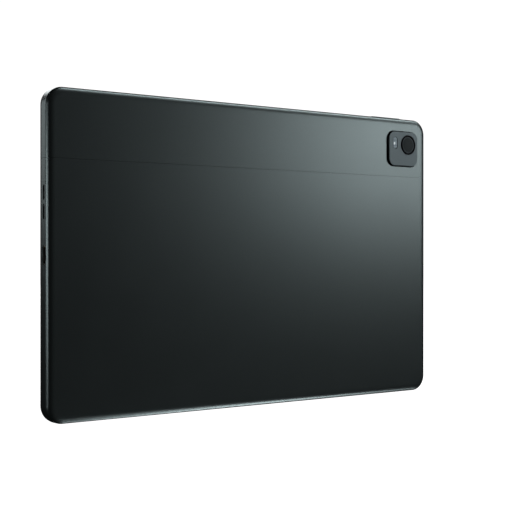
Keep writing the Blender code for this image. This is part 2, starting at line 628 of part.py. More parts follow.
def make_boards():
    """Main board with its shields, microphones and screws, and the flex strips between boards."""
    board = block("main_board", *across(MAIN_BOARD, BOARD), "Y", 1.5, 2)
    cut_block(board, "speaker_notch", *across(SPEAKER_NOTCH, (0, PAST)))
    cut_block(board, "camera_notch", *across(CAMERA_NOTCH, (0, PAST)))
    for number, (x, z) in enumerate(BOARD_SCREWS):
        cut_hole(board, f"board_hole_{number}", (x, BOARD[0], z), SCREW_HOLE, PAST)
    finish(board, BOARD_GREEN, 0.5)

    low, high = SHIELD
    for name, (x0, z0, x1, z1) in SHIELDS.items():
        can = block(name, (x0, low, z0), (x1, high, z1), "Y", 0.8, 2)
        cut_block(can, name + "_inside", (x0 + SHEET, low - 1, z0 + SHEET),
                  (x1 - SHEET, high - SHEET, z1 - SHEET))
        finish(can, STEEL, 0.35, 1.0)
    half_x, half_z = MICROPHONE_HALF
    for name, (x, z) in MICROPHONES.items():
        can = block(name, (x - half_x, low, z - half_z), (x + half_x, low + MICROPHONE_HEIGHT, z + half_z))
        finish(can, STEEL, 0.35, 1.0)

    # Screws go through a board into the bosses of the mid frame.
    places = [("main_board_screw", x, z, BOARD[0]) for x, z in BOARD_SCREWS]
    places += [("usb_board_screw", USB_SCREW_X, z, USB_BOARD[0]) for z in USB_SCREWS]
    for number, (name, x, z, seat) in enumerate(places, 1):
        screw = turned(f"{name}_{number}", SCREW_PROFILE, (x, seat - SCREW_LIFT, z), 16)
        finish(screw, STEEL, 0.3, 1.0)

    # Each joined leg is a hair thinner, so that no two faces of the join lie in one plane.
    low, high = MAIN_FLEX_DEPTH
    flex = block("main_flex", *across(MAIN_FLEX, (low, high)))
    add_block(flex, "flex_left_leg", *across(LEFT_LEG, (low + 0.001, high - 0.001)))
    add_block(flex, "flex_left_foot", *across(LEFT_FOOT, (low + 0.002, high - 0.002)))
    add_block(flex, "flex_right_leg", *across(RIGHT_LEG, (low + 0.001, high - 0.001)))
    finish(flex, FLEX_AMBER, 0.5)
    edge = PANEL_SIZE[0] / 2 + GAP
    fold = edge + 2.0
    z0, z1 = DISPLAY_FLEX_Z
    low, high = DISPLAY_FLEX_DEPTH
    flex = block("display_flex", (edge, high - FLEX_SHEET, z0), (fold, high, z1))
    add_block(flex, "flex_fold", (fold - FLEX_SHEET, low, z0 + 0.01), (fold - 0.001, high - 0.01, z1 - 0.01))
    add_block(flex, "flex_tail", (DISPLAY_FLEX_END, low + 0.001, z0 + 0.02),
              (fold - 0.01, low + FLEX_SHEET, z1 - 0.02))
    finish(flex, FLEX_AMBER, 0.5)


def make_battery():
    """Two pouch cells, their protection board and lead, and the graphite sheet behind them."""
    low, high = BATTERY
    for name, x in CELL_LEFTS.items():
        cell = block(name, (x, low, CELL_Z[0]), (x + CELL_WIDTH, high, CELL_Z[1]), "X", 1.2, 3)
        finish(cell, (0.08, 0.08, 0.085), 0.35, 0.5)
    board = block("battery_board", *across(BATTERY_BOARD, BATTERY_BOARD_DEPTH))
    finish(board, BOARD_GREEN, 0.5)
    lead = block("battery_lead", *across(BATTERY_LEAD, BATTERY_LEAD_DEPTH))
    finish(lead, FLEX_AMBER, 0.5)
    sheet = block("graphite_sheet", *across(GRAPHITE_OUTLINE, GRAPHITE), "Y", 3.0, 3)
    finish(sheet, (0.03, 0.03, 0.03), 0.4)


def inset_slab(inset, depths):
    """Corners and corner radius of a slab that follows the body's outline at some distance."""
    low = (-HALF_WIDTH + inset, depths[0], inset)
    high = (HALF_WIDTH - inset, depths[1], BODY_HEIGHT - inset)
    return low, high, "Y", CORNER_RADIUS - inset, 6


def make_mid_frame():
    """The carrier between screen and electronics: a plate with a rim, a lip and screw bosses."""
    low, high = FRAME
    outer = SIDE_WALL + GAP
    frame = block("mid_frame", *inset_slab(outer, FRAME))
    add_block(frame, "frame_lip", *inset_slab(GLASS_INSET, FRAME_LIP))
    cut_block(frame, "gasket_seat", *inset_slab(GLASS_INSET + LIP_WIDTH, (high, high + 1)))
    cut_block(frame, "frame_pocket", *inset_slab(outer + FRAME_RIM, (low + FRAME_PLATE, high + 1)))
    bosses = [(x, z, BOARD[1]) for x, z in BOARD_SCREWS]
    bosses += [(USB_SCREW_X, z, USB_BOARD[1]) for z in USB_SCREWS]
    for number, (x, z, seat) in enumerate(bosses):
        start = seat + 0.2
        stop = low + 0.1
        add_post(frame, f"boss_{number}", (x, (start + stop) / 2, z), BOSS_RADIUS, stop - start)
        cut_hole(frame, f"boss_bore_{number}", (x, 2.7, z), SCREW_HOLE, 3.0)
    cut_block(frame, "usb_clearance", (-HALF_WIDTH, 3, USB_CENTRE - 5.5), (-115, 5.3, USB_CENTRE + 5.5))
    cut_block(frame, "volume_clearance", (VOLUME_CENTRE - 13, 3, 150.5),
              (VOLUME_CENTRE + 13, 5.0, BODY_HEIGHT + 1))
    cut_block(frame, "power_clearance", (116.8, 3, POWER_CENTRE - 7.5),
              (HALF_WIDTH + 1, 5.0, POWER_CENTRE + 7.5))
    x0, z0, x1, z1 = FRONT_CAMERA
    play_x, play_z = FRONT_CAMERA_PLAY
    cut_block(frame, "front_camera_clearance", (x0 - play_x, 3, z0 - play_z), (x1 + play_x, 8, z1 + play_z))
    edge = PANEL_SIZE[0] / 2 + GAP
    cut_block(frame, "display_flex_slot", (edge + 1.3, 3, DISPLAY_FLEX_Z[0] - 1),
              (edge + 2.5, 6, DISPLAY_FLEX_Z[1] + 1))
    finish(frame, BLACK, 0.5)


def make_display():
    """Backlight, panel and cover glass, with the sealing frame and the front sensors."""
    half = PANEL_SIZE[0] / 2
    low_z = MIDDLE - PANEL_SIZE[1] / 2
    high_z = MIDDLE + PANEL_SIZE[1] / 2
    backlight = block("backlight_unit", (-half, BACKLIGHT[0], low_z), (half, BACKLIGHT[1], high_z))
    finish(backlight, (0.7, 0.7, 0.7), 0.4)
    panel = block("display_panel", (-half, PANEL[0], low_z), (half, PANEL[1], high_z))
    finish(panel, GLASS_BLACK, 0.15)
    outer = SIDE_WALL + GASKET_SETBACK
    gasket = block("display_gasket", *inset_slab(outer, GASKET))
    cut_block(gasket, "gasket_window", *inset_slab(outer + GASKET_WIDTH, (GASKET[0] - 1, GASKET[1] + 1)))
    finish(gasket, BLACK, 0.7)

    glass = block("cover_glass", *inset_slab(GLASS_INSET, GLASS))
    rounding = glass.modifiers.new("front_edge", "BEVEL")
    rounding.limit_method = "ANGLE"
    rounding.angle_limit = math.radians(60)
    rounding.width = GLASS_EDGE * MM
    rounding.segments = 2
    finish(glass, GLASS_BLACK, 0.05)
    camera = block("front_camera_module", *across(FRONT_CAMERA, FRONT_CAMERA_DEPTH), "Y", 0.6, 2)
    finish(camera, BLACK, 0.4)
    sensor = block("light_sensor", *across(LIGHT_SENSOR, LIGHT_SENSOR_DEPTH))
    finish(sensor, BLACK, 0.3)


def make_antennas():
    """Thin antenna foils and the contactless coil, on the inside of the plastic cover."""
    low, high = GRAPHITE
    bottom = SPLIT + ANTENNA_BAND[0]
    top = INNER_TOP - ANTENNA_BAND[1]
    start, rise, wide = ANTENNA_SLIT
    for name, (x, width) in ANTENNAS.items():
        foil = block(name, (x, low, bottom + ANTENNA_STEP["low"]), (x + width, high, top))
        cut_block(foil, name + "_slit", (x + start, 0, bottom + ANTENNA_STEP["low"] + rise),
                  (x + width + 1, PAST, bottom + ANTENNA_STEP["low"] + rise + wide))
        cut_block(foil, name + "_step", (x + width * ANTENNA_STEP["share"], 0, bottom),
                  (x + width + 1, PAST, bottom + ANTENNA_STEP["high"]))
        finish(foil, COPPER, 0.35, 1.0)
    x0, z0, x1, z1 = COIL
    coil = block("contactless_coil", (x0, low, SPLIT + z0), (x1, high, SPLIT + z1), "Y", 3.0, 3)
    cut_block(coil, "coil_window", (x0 + COIL_BAND, 0, SPLIT + z0 + COIL_BAND),
              (x1 - COIL_BAND, PAST, SPLIT + z1 - COIL_BAND), "Y", 1.5, 3)
    finish(coil, COPPER, 0.4, 1.0)


start_scene()
make_rear_housing()
make_antenna_cover()
make_camera()
make_keys()
make_card_tray()
make_usb_port()
make_speakers()
make_boards()
make_battery()
make_mid_frame()
make_display()
make_antennas()
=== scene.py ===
import json
import math

import bmesh
import bpy
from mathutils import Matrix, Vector


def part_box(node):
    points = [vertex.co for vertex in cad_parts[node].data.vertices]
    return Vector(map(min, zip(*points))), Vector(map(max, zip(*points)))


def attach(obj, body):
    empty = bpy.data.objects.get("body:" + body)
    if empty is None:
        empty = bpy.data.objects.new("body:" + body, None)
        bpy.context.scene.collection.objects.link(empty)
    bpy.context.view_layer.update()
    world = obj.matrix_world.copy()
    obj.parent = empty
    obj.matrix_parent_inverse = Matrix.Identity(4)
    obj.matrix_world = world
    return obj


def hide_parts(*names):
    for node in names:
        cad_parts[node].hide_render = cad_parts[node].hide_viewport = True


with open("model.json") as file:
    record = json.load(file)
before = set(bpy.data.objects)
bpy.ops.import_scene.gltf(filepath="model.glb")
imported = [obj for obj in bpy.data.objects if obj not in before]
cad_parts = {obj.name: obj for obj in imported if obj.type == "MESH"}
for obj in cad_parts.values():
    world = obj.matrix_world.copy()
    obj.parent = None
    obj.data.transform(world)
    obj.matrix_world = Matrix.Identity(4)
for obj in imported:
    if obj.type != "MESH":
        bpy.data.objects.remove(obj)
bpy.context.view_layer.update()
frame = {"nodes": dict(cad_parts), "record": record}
nodes = frame["nodes"]
mm = 0.001
print("frame loaded:", len(nodes), "nodes")

# places, all read from the frame
housingLow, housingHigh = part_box("rear_housing")
coverLow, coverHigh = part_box("antenna_cover")
glassLow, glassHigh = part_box("cover_glass")
islandLow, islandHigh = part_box("camera_island")
ringLow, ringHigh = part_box("lens_ring")
lensLow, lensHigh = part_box("lens_glass")
flashLow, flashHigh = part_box("flash_window")
shellLow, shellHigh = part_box("usb_shell")
backY = housingLow.y
halfWidth = housingHigh.x
bodyTop = coverHigh.z
bodyLow = Vector((-halfWidth, backY, 0))
bodyHigh = Vector((halfWidth, housingHigh.y, bodyTop))
seamZ = housingHigh.z + 0.15 * mm       # middle of the line between housing and antenna cover

body = {
    "cornerRadius": 8.6 * mm,
    "roundInset": 4.0 * mm,     # how far the back edge's round reaches inwards
    "roundDepth": 2.4 * mm,     # and how far down the side
    "roundPower": 3.0,          # over 2, so it eases gently into the flat back
    "roundFlat": 0.05 * mm,     # a hair of flat at both ends of the round
    "rimChamfer": 0.12 * mm,
    "backWall": 0.8 * mm,
    "sideWall": 1.3 * mm,
    "pocketChamfer": 1.2 * mm,
    "seam": 0.11 * mm,          # width of that line
    "cornerSteps": 20,
    "roundSteps": 14,
}


def linear(hexColour):
    channels = [int(hexColour[i:i + 2], 16) / 255 for i in (1, 3, 5)]
    return tuple(c / 12.92 if c <= 0.04045 else ((c + 0.055) / 1.055) ** 2.4 for c in channels) + (1.0,)


def addNode(tree, kind, settings=None, links=None):
    node = tree.nodes.new(kind)
    for key, value in (settings or {}).items():
        if isinstance(key, int) or key in node.inputs:
            node.inputs[key].default_value = value
        else:
            setattr(node, key, value)
    for key, source in (links or {}).items():
        tree.links.new(source, node.inputs[key])
    return node


def newMaterial(name, settings):
    material = bpy.data.materials.new(name)
    material.use_nodes = True
    tree = material.node_tree
    shader = tree.nodes["Principled BSDF"]
    for key, value in settings.items():
        shader.inputs[key].default_value = value
    place = addNode(tree, "ShaderNodeTexCoord").outputs["Object"]
    return material, tree, shader, place


def grainyMaterial(name, settings, values):
    # fine grit in the surface: colour, gloss and height all follow noise
    material, tree, shader, place = newMaterial(name, settings)
    fine = addNode(tree, "ShaderNodeTexNoise",
                   {"Scale": 1 / values["grit"], "Detail": 3.0, "Roughness": 0.6},
                   {"Vector": place})
    broad = addNode(tree, "ShaderNodeTexNoise", {"Scale": 1 / values["patch"], "Detail": 2.0},
                    {"Vector": place})
    tone = addNode(tree, "ShaderNodeMix",
                   {"data_type": "RGBA", 6: linear(values["dark"]), 7: linear(values["light"])},
                   {0: fine.outputs["Fac"]})
    tree.links.new(tone.outputs[2], shader.inputs["Base Color"])
    low, high = values["roughness"]
    gloss = addNode(tree, "ShaderNodeMapRange", {"To Min": low, "To Max": high},
                    {"Value": broad.outputs["Fac"]})
    tree.links.new(gloss.outputs["Result"], shader.inputs["Roughness"])
    if "height" in values:
        bump = addNode(tree, "ShaderNodeBump",
                       {"Strength": values.get("strength", 0.3), "Distance": values["height"]},
                       {"Height": fine.outputs["Fac"]})
        tree.links.new(bump.outputs["Normal"], shader.inputs["Normal"])
    return material


def acrossBack(tree, place, centre):
    # where a point is in the plane of the back, measured from a centre
    offset = addNode(tree, "ShaderNodeVectorMath", {"operation": "SUBTRACT", 1: centre}, {0: place})
    flat = addNode(tree, "ShaderNodeVectorMath", {"operation": "MULTIPLY", 1: (1, 0, 1)},
                   {0: offset.outputs[0]})
    return flat.outputs[0]


def anodisedAluminium():
    # bead-blasted and dyed: a dark satin metal with a faint cool green cast and a very fine sparkle
    return grainyMaterial("anodised aluminium", {"Metallic": 0.96}, {
        "dark": "#656f70", "light": "#6d7879", "grit": 0.35 * mm, "patch": 18 * mm,
        "roughness": (0.275, 0.295), "height": 0.004 * mm, "strength": 0.12})


def paintedPolycarbonate():
    # plastic sprayed with a metallic satin coat to match the metal beside it
    return grainyMaterial("painted polycarbonate", {"Metallic": 0.95}, {
        "dark": "#656f70", "light": "#6c7778", "grit": 0.45 * mm, "patch": 25 * mm,
        "roughness": (0.275, 0.295), "height": 0.003 * mm, "strength": 0.1})


def islandAluminium():
    # finer blasted face with a lighter neutral dye
    return grainyMaterial("island aluminium", {"Metallic": 0.9}, {
        "dark": "#6f7b7f", "light": "#7a868a", "grit": 0.3 * mm, "patch": 9 * mm,
        "roughness": (0.4, 0.44), "height": 0.003 * mm, "strength": 0.1})


def shadeBlackAnodised():
    # the island's base: near-black as painted shade, so that its side and the gap beside it read as the
    # shaded dark line round the plate
    return grainyMaterial("black anodised aluminium", {"Specular IOR Level": 0.15}, {
        "dark": "#050505", "light": "#0a0a0b", "grit": 0.3 * mm, "patch": 5 * mm,
        "roughness": (0.5, 0.6), "height": 0.003 * mm, "strength": 0.1})


def turnedSteel():
    # black-chromed steel ring, with the fine circular lines of the lathe
    values = {"dark": "#0c0d0e", "light": "#15171a", "pitch": 0.12 * mm, "height": 0.01 * mm}
    material, tree, shader, place = newMaterial("turned black chrome steel",
                                                {"Metallic": 1.0, "Roughness": 0.28})
    wave = addNode(tree, "ShaderNodeTexWave",
                   {"wave_type": "RINGS", "rings_direction": "SPHERICAL", "Scale": 0.05 / values["pitch"],
                    "Distortion": 0.4},
                   {"Vector": acrossBack(tree, place, (ringLow + ringHigh) / 2)})
    tone = addNode(tree, "ShaderNodeMix",
                   {"data_type": "RGBA", 6: linear(values["dark"]), 7: linear(values["light"])},
                   {0: wave.outputs["Fac"]})
    tree.links.new(tone.outputs[2], shader.inputs["Base Color"])
    bump = addNode(tree, "ShaderNodeBump", {"Strength": 0.15, "Distance": values["height"]},
                   {"Height": wave.outputs["Fac"]})
    tree.links.new(bump.outputs["Normal"], shader.inputs["Normal"])
    return material


def polariserFilm():
    # the panel's outer film, with the glass laminated to it: near black, with faint broad smears
    values = {"ink": "#0c0d10", "tint": "#14161a", "smear": 25 * mm, "gloss": (0.1, 0.2)}
    material, tree, shader, place = newMaterial("polariser film", {"IOR": 1.51, "Specular IOR Level": 0.5})
    smear = addNode(tree, "ShaderNodeTexNoise",
                    {"Scale": 1 / values["smear"], "Detail": 4.0, "Distortion": 0.6},
                    {"Vector": place})
    gloss = addNode(tree, "ShaderNodeMapRange",
                    {"From Min": 0.4, "From Max": 0.75,
                     "To Min": values["gloss"][0], "To Max": values["gloss"][1]},
                    {"Value": smear.outputs["Fac"]})
    tone = addNode(tree, "ShaderNodeMix",
                   {"data_type": "RGBA", 6: linear(values["ink"]), 7: linear(values["tint"])},
                   {0: smear.outputs["Fac"]})
    tree.links.new(tone.outputs[2], shader.inputs["Base Color"])
    tree.links.new(gloss.outputs["Result"], shader.inputs["Roughness"])
    return material


def lensWindow():
    # coated window over a black barrel: even and dark, with a painted highlight as a paler ring over its
    # bevel
    values = {"ink": "#404749", "tint": "#474f51", "ring": "#656f72", "start": 4.0 * mm, "end": 4.15 * mm,
              "smear": 6 * mm, "gloss": (0.3, 0.36)}
    material, tree, shader, place = newMaterial("coated lens glass",
                                                {"IOR": 1.51, "Specular IOR Level": 0.04})
    reach = addNode(tree, "ShaderNodeVectorMath", {"operation": "LENGTH"},
                    {0: acrossBack(tree, place, (lensLow + lensHigh) / 2)})
    # painted highlight: from 4 mm out the glass takes the paler ring colour, standing in for light on the
    # bevel
    bevelHighlight = addNode(tree, "ShaderNodeMapRange", {"From Min": values["start"], "From Max": values["end"]},
                  {"Value": reach.outputs["Value"]})
    smear = addNode(tree, "ShaderNodeTexNoise",
                    {"Scale": 1 / values["smear"], "Detail": 4.0, "Distortion": 0.6},
                    {"Vector": place})
    disc = addNode(tree, "ShaderNodeMix",
                   {"data_type": "RGBA", 6: linear(values["ink"]), 7: linear(values["tint"])},
                   {0: smear.outputs["Fac"]})
    tone = addNode(tree, "ShaderNodeMix", {"data_type": "RGBA", 7: linear(values["ring"])},
                   {0: bevelHighlight.outputs["Result"], 6: disc.outputs[2]})
    gloss = addNode(tree, "ShaderNodeMapRange", {"To Min": values["gloss"][0], "To Max": values["gloss"][1]},
                    {"Value": smear.outputs["Fac"]})
    tree.links.new(tone.outputs[2], shader.inputs["Base Color"])
    tree.links.new(gloss.outputs["Result"], shader.inputs["Roughness"])
    return material


def screenGlass():
    # strengthened cover glass: black ink border, and the switched-off panel a little lighter inside it
    values = {"ink": "#060607", "panel": "#101216", "pupil": "#1d2430", "border": Vector((2.2, 0, 2.3)) * mm,
              "edge": 0.12 * mm, "pupilStart": 1.5 * mm, "pupilEnd": 1.6 * mm, "smear": 30 * mm,
              "gloss": (0.02, 0.07)}
    material, tree, shader, place = newMaterial("aluminosilicate cover glass", {"IOR": 1.51})
    panelLow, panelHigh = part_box("display_panel")
    centre = (panelLow + panelHigh) / 2
    half = (panelHigh - panelLow) / 2 - values["border"]
    axes = addNode(tree, "ShaderNodeSeparateXYZ", {}, {0: place})
    masks = []
    for axis in (0, 2):
        away = addNode(tree, "ShaderNodeMath", {"operation": "SUBTRACT", 1: centre[axis]},
                       {0: axes.outputs[axis]})
        size = addNode(tree, "ShaderNodeMath", {"operation": "ABSOLUTE"}, {0: away.outputs[0]})
        mask = addNode(tree, "ShaderNodeMapRange",
                       {"From Min": half[axis] - values["edge"], "From Max": half[axis] + values["edge"],
                        "To Min": 1.0, "To Max": 0.0},
                       {"Value": size.outputs[0]})
        masks.append(mask.outputs[0])
    inside = addNode(tree, "ShaderNodeMath", {"operation": "MULTIPLY"}, {0: masks[0], 1: masks[1]})
    panel = addNode(tree, "ShaderNodeMix",
                    {"data_type": "RGBA", 6: linear(values["ink"]), 7: linear(values["panel"])},
                    {0: inside.outputs[0]})
    cameraLow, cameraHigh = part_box("front_camera_module")
    reach = addNode(tree, "ShaderNodeVectorMath", {"operation": "LENGTH"},
                    {0: acrossBack(tree, place, (cameraLow + cameraHigh) / 2)})
    pupil = addNode(tree, "ShaderNodeMapRange",
                    {"From Min": values["pupilStart"], "From Max": values["pupilEnd"],
                     "To Min": 1.0, "To Max": 0.0},
                    {"Value": reach.outputs["Value"]})
    tone = addNode(tree, "ShaderNodeMix", {"data_type": "RGBA", 7: linear(values["pupil"])},
                   {0: pupil.outputs["Result"], 6: panel.outputs[2]})
    tree.links.new(tone.outputs[2], shader.inputs["Base Color"])
    smear = addNode(tree, "ShaderNodeTexNoise",
                    {"Scale": 1 / values["smear"], "Detail": 4.0, "Distortion": 0.8},
                    {"Vector": place})
    gloss = addNode(tree, "ShaderNodeMapRange",
                    {"From Min": 0.45, "From Max": 0.75,
                     "To Min": values["gloss"][0], "To Max": values["gloss"][1]},
                    {"Value": smear.outputs["Fac"]})
    tree.links.new(gloss.outputs["Result"], shader.inputs["Roughness"])
    return material


def frostedPolycarbonate():
    # the flash window: milky plastic over silvering, with the ribs of a light-spreading lens
    values = {"dark": "#76838a", "light": "#87949a", "rib": 0.5 * mm, "height": 0.05 * mm}
    material, tree, shader, place = newMaterial("frosted polycarbonate over silvering",
                                                {"Roughness": 0.38, "IOR": 1.58, "Metallic": 0.85})
    offset = addNode(tree, "ShaderNodeVectorMath", {"operation": "SUBTRACT", 1: (flashLow + flashHigh) / 2},
                     {0: place})
    wave = addNode(tree, "ShaderNodeTexWave",
                   {"wave_type": "RINGS", "Scale": 0.1 / values["rib"], "Distortion": 0.2},
                   {"Vector": offset.outputs[0]})
    tone = addNode(tree, "ShaderNodeMix",
                   {"data_type": "RGBA", 6: linear(values["dark"]), 7: linear(values["light"])},
                   {0: wave.outputs["Fac"]})
    tree.links.new(tone.outputs[2], shader.inputs["Base Color"])
    bump = addNode(tree, "ShaderNodeBump", {"Strength": 0.3, "Distance": values["height"]},
                   {"Height": wave.outputs["Fac"]})
    tree.links.new(bump.outputs["Normal"], shader.inputs["Normal"])
    return material


def silveredReflector():
    # vacuum-silvered cup behind the flash: the one bright spot on the island
    return grainyMaterial("silvered reflector", {"Metallic": 1.0}, {
        "dark": "#a9b1b4", "light": "#bfc7ca", "grit": 0.15 * mm, "patch": 1 * mm,
        "roughness": (0.26, 0.32)})


def platedSteel():
    # drawn and nickel-plated sheet: bright, with faint drawing lines
    values = {"dark": "#a3a4a3", "light": "#c0c0bd", "line": 0.25 * mm, "gloss": (0.22, 0.4)}
    material, tree, shader, place = newMaterial("nickel plated steel", {"Metallic": 1.0})
    stretched = addNode(tree, "ShaderNodeMapping", {"Scale": (0.06, 1, 1)}, {"Vector": place})
    lines = addNode(tree, "ShaderNodeTexNoise", {"Scale": 1 / values["line"], "Detail": 2.0},
                    {"Vector": stretched.outputs[0]})
    tone = addNode(tree, "ShaderNodeMix",
                   {"data_type": "RGBA", 6: linear(values["dark"]), 7: linear(values["light"])},
                   {0: lines.outputs["Fac"]})
    gloss = addNode(tree, "ShaderNodeMapRange", {"To Min": values["gloss"][0], "To Max": values["gloss"][1]},
                    {"Value": lines.outputs["Fac"]})
    tree.links.new(tone.outputs[2], shader.inputs["Base Color"])
    tree.links.new(gloss.outputs[0], shader.inputs["Roughness"])
    return material


def mouldedPlastic(name, dark, light, roughness=0.45):
    # injection-moulded with a fine spark-eroded texture, so it stays matt and even
    return grainyMaterial(name, {"IOR": 1.5}, {
        "dark": dark, "light": light, "grit": 0.2 * mm, "patch": 6 * mm,
        "roughness": (roughness - 0.05, roughness + 0.05), "height": 0.01 * mm, "strength": 0.3})


def wovenMesh():
    # black polyester monofilament, woven square; drawn at twice its real pitch so that it shows
    values = {"thread": "#1c1c1c", "hole": "#040404", "pitch": 0.3 * mm, "height": 0.05 * mm}
    material, tree, shader, place = newMaterial("woven polyester mesh", {"Roughness": 0.6})
    weave = addNode(tree, "ShaderNodeTexVoronoi", {"Scale": 1 / values["pitch"], "Randomness": 0.0},
                    {"Vector": place})
    tone = addNode(tree, "ShaderNodeMix",
                   {"data_type": "RGBA", 6: linear(values["thread"]), 7: linear(values["hole"])},
                   {0: weave.outputs["Distance"]})
    tree.links.new(tone.outputs[2], shader.inputs["Base Color"])
    bump = addNode(tree, "ShaderNodeBump", {"Strength": 0.6, "Distance": values["height"]},
                   {"Height": weave.outputs["Distance"]})
    tree.links.new(bump.outputs["Normal"], shader.inputs["Normal"])
    return material


def boardLaminate():
    # glass-fibre board under green solder mask, with lighter copper tracks below it
    values = {"mask": "#0d3a2a", "maskLight": "#114634", "copper": "#2c6a4b", "track": 1.6 * mm}
    material, tree, shader, place = newMaterial("glass fibre board", {"IOR": 1.55, "Roughness": 0.32})
    upright = addNode(tree, "ShaderNodeMapping", {"Rotation": (math.radians(90), 0, 0)}, {"Vector": place})
    cells = addNode(tree, "ShaderNodeTexBrick",
                    {"Scale": 0.5 / values["track"], "Mortar Size": 0.06, "Color1": linear(values["mask"]),
                     "Color2": linear(values["maskLight"]), "Mortar": linear(values["copper"])},
                    {"Vector": upright.outputs[0]})
    tree.links.new(cells.outputs["Color"], shader.inputs["Base Color"])
    return material


def polyimideFilm():
    # amber film with the copper lines showing through it
    values = {"dark": "#6d3a0e", "light": "#a5682a", "pitch": 0.9 * mm}
    material, tree, shader, place = newMaterial("polyimide film", {"IOR": 1.7, "Roughness": 0.25})
    lines = addNode(tree, "ShaderNodeTexWave", {"bands_direction": "Z", "Scale": 0.32 / values["pitch"]},
                    {"Vector": place})
    tone = addNode(tree, "ShaderNodeMix",
                   {"data_type": "RGBA", 6: linear(values["dark"]), 7: linear(values["light"])},
                   {0: lines.outputs["Fac"]})
    tree.links.new(tone.outputs[2], shader.inputs["Base Color"])
    return material


def pouchLaminate():
    # aluminium laminate in a black wrap, a little wavy where the stack inside presses
    return grainyMaterial("wrapped pouch laminate", {"Metallic": 0.3}, {
        "dark": "#1c1c1f", "light": "#26262a", "grit": 4 * mm, "patch": 20 * mm,
        "roughness": (0.3, 0.45), "height": 0.2 * mm, "strength": 0.2})


def graphiteFoil():
    # rolled graphite under clear film: dark grey with a soft sheen
    return grainyMaterial("rolled graphite foil", {"Metallic": 0.5}, {
        "dark": "#26272a", "light": "#34363a", "grit": 0.6 * mm, "patch": 12 * mm,
        "roughness": (0.35, 0.5), "height": 0.02 * mm, "strength": 0.2})


def copperFoil():
    # etched copper on a film: warm and bright, slightly uneven
    return grainyMaterial("etched copper foil", {"Metallic": 1.0}, {
        "dark": "#b87a4d", "light": "#cf9266", "grit": 0.5 * mm, "patch": 5 * mm,
        "roughness": (0.25, 0.4), "height": 0.01 * mm, "strength": 0.2})


def goldPlate():
    # hard gold over the port's contacts: the small yellow glints in the port
    return grainyMaterial("hard gold plate", {"Metallic": 1.0}, {
        "dark": "#d8a94e", "light": "#e6bd6a", "grit": 0.3 * mm, "patch": 2 * mm, "roughness": (0.18, 0.28)})


def backlightFilm():
    # white reflector film on the back of the light guide
    return grainyMaterial("white reflector film", {"IOR": 1.5}, {
        "dark": "#cfd0d0", "light": "#dcdddd", "grit": 0.8 * mm, "patch": 15 * mm,
        "roughness": (0.3, 0.4), "height": 0.01 * mm})


finishes = {
    "housing": anodisedAluminium(),
    "cover": paintedPolycarbonate(),
    "island": islandAluminium(),
    "islandShadeBase": shadeBlackAnodised(),
    "ring": turnedSteel(),
    "screen": screenGlass(),
    "lens": lensWindow(),
    "window": frostedPolycarbonate(),
    "phosphor": mouldedPlastic("yellow phosphor", "#d9c25a", "#eadb86", 0.4),
    "reflectorCup": silveredReflector(),
    "steel": platedSteel(),
    "gold": goldPlate(),
    "blackPlastic": mouldedPlastic("glass filled nylon", "#0b0b0c", "#151516"),
    "mesh": wovenMesh(),
    "board": boardLaminate(),
    "film": polyimideFilm(),
    "pouch": pouchLaminate(),
    "graphite": graphiteFoil(),
    "copper": copperFoil(),
    "reflector": backlightFilm(),
    "foam": mouldedPlastic("black acrylic foam", "#0a0a0a", "#161616", 0.8),
    "polariser": polariserFilm(),
}
slotFinish = {
    "housing_aluminium": "housing", "cover_plastic": "cover", "island_metal": "island", "ring_metal": "ring",
    "dark_glass": "lens", "screen_panel": "polariser", "window_plastic": "window", "led": "phosphor",
    "black_plastic": "blackPlastic", "steel_sheet": "steel", "mesh_black": "mesh", "board_laminate": "board",
    "flex_film": "film", "cell_pouch": "pouch", "graphite": "graphite", "backlight_film": "reflector",
    "gasket_foam": "foam", "copper_foil": "copper",
}
sharpAngle = 32     # degrees; a turn sharper than this shades as an edge
for part in frame["record"]["subparts"]:
    node = nodes[part["node"]]
    node.data.materials.clear()
    node.data.materials.append(finishes[slotFinish[part["material_slot"]]])
    node.data.shade_smooth()
    node.data.set_sharp_from_angle(angle=math.radians(sharpAngle))
print("materials made:", len(finishes))


# helpers for shapes
pillEnd = 0.98              # end radius of a pill over its half width, so that no side of it vanishes
smallestRadius = 0.02 * mm
flatHair = 0.03 * mm        # flat beside each small round, so that flats shade flat
cutRadius = 0.1 * mm        # corners of the big cutting blocks, well away from the body
beyond = 5 * mm             # how far those blocks reach past the body


def outline(halfX, halfZ, radius, steps):
    # rounded rectangle about the origin, in x and z, anticlockwise from the right side
    points = []
    for turn, (signX, signZ) in enumerate(((1, 1), (-1, 1), (-1, -1), (1, -1))):
        for step in range(steps + 1):
            angle = math.radians(90 * turn + 90 * step / steps)
            points.append((signX * (halfX - radius) + radius * math.cos(angle),
                           signZ * (halfZ - radius) + radius * math.sin(angle)))
    return points


def addObject(name, bm):
    bmesh.ops.recalc_face_normals(bm, faces=bm.faces)
    mesh = bpy.data.meshes.new(name)
    bm.to_mesh(mesh)
    bm.free()
    piece = bpy.data.objects.new(name, mesh)
    bpy.context.scene.collection.objects.link(piece)
    return piece


def loft(name, rings, closed=False):
    # skin over rings of points; the ends are capped, or joined to each other
    bm = bmesh.new()
    loops = [[bm.verts.new(point) for point in ring] for ring in rings]
    pairs = list(zip(loops, loops[1:])) + ([(loops[-1], loops[0])] if closed else [])
    for one, two in pairs:
        for i in range(len(one)):
            j = (i + 1) % len(one)
            bm.faces.new((one[i], one[j], two[j], two[i]))
    if not closed:
        bm.faces.new(loops[0])
        bm.faces.new(list(reversed(loops[-1])))
    return addObject(name, bm)


